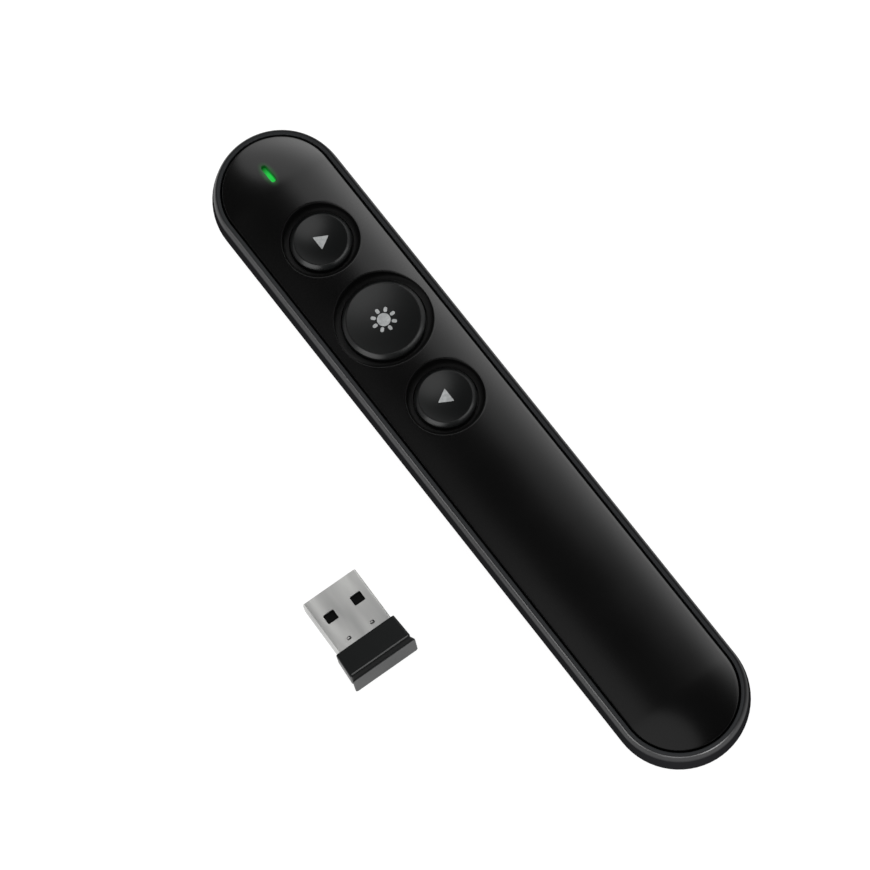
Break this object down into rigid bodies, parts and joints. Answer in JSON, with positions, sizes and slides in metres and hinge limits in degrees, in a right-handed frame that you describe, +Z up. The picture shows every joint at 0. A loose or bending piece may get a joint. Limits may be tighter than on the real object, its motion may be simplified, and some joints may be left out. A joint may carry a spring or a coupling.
{
  "type": "wireless presentation clicker",
  "caption": "Slim hand-held presentation remote with round press keys, a light slit and a front laser window, with its nano USB receiver lying beside it.",
  "frame": {"origin": "on the flat underside of the case, midway between its two round ends", "axes": "+Z up, +Y along the case towards the light slit and laser window, +X to the right"},
  "size_m": [0.059, 0.1502, 0.0155],
  "materials": {
    "case_plastic": "satin",
    "plate_plastic": "polished",
    "button_plastic": "satin",
    "door_plastic": "fine grained",
    "guide_plastic": "clear, lit green",
    "window_glass": "dark tinted",
    "lens_glass": "clear",
    "board_laminate": "solder-masked laminate",
    "chip_epoxy": "moulded epoxy",
    "ceramic": "fired ceramic",
    "led_resin": "clear resin",
    "tin_plate": "tinned",
    "barrel_brass": "turned",
    "switch_plastic": "moulded",
    "plunger_plastic": "moulded",
    "knob_plastic": "moulded",
    "screw_steel": "black oxide",
    "cell_sleeve": "printed foil",
    "spring_steel": "nickel plated",
    "plug_steel": "satin",
    "insulator": "moulded",
    "pad_gold": "gold plated",
    "cap_plastic": "satin"
  },
  "bodies": {
    "case": {"upper_case": "case_plastic", "lower_case": "door_plastic", "faceplate": "plate_plastic", "next_switch": "switch_plastic", "laser_switch": "switch_plastic", "previous_switch": "switch_plastic", "main_board": "board_laminate", "radio_chip": "chip_epoxy", "board_crystal": "tin_plate", "board_capacitors": "ceramic", "chip_antenna": "ceramic", "status_led": "led_resin", "light_guide": "guide_plastic", "laser_barrel": "barrel_brass", "laser_lens": "lens_glass", "laser_window": "window_glass", "power_switch": "tin_plate", "case_screws": "screw_steel", "cell_left": "cell_sleeve", "cell_right": "cell_sleeve", "positive_contact": "spring_steel", "negative_contact": "spring_steel", "bridge_contact": "spring_steel", "front_spring": "spring_steel", "rear_spring": "spring_steel"},
    "next_key": {"next_button": "button_plastic", "next_plunger": "plunger_plastic"},
    "laser_key": {"laser_button": "button_plastic", "laser_plunger": "plunger_plastic"},
    "previous_key": {"previous_button": "button_plastic", "previous_plunger": "plunger_plastic"},
    "door": {"battery_door": "door_plastic"},
    "power_knob": {"power_slider": "knob_plastic"},
    "receiver": {"receiver_shell": "plug_steel", "receiver_tongue": "insulator", "receiver_contacts": "pad_gold", "receiver_board": "board_laminate", "receiver_chip": "chip_epoxy", "receiver_cap": "cap_plastic"}
  },
  "joints": [
    {"name": "next_press", "type": "slide", "parent": "case", "child": "next_key", "axis": [0, 0, -1], "range_m": [0, 0.0005], "stiffness_N_per_m": 2000},
    {"name": "laser_press", "type": "slide", "parent": "case", "child": "laser_key", "axis": [0, 0, -1], "range_m": [0, 0.0005], "stiffness_N_per_m": 2000},
    {"name": "previous_press", "type": "slide", "parent": "case", "child": "previous_key", "axis": [0, 0, -1], "range_m": [0, 0.0005], "stiffness_N_per_m": 2000},
    {"name": "door_slide", "type": "slide", "parent": "case", "child": "door", "axis": [0, -1, 0], "range_m": [0, 0.008]},
    {"name": "power_slide", "type": "slide", "parent": "case", "child": "power_knob", "axis": [0, -1, 0], "range_m": [0, 0.002]},
    {"name": "receiver_lift", "type": "slide", "parent": "case", "child": "receiver", "axis": [0, 0, 1], "range_m": [0, 0.05]}
  ]
}
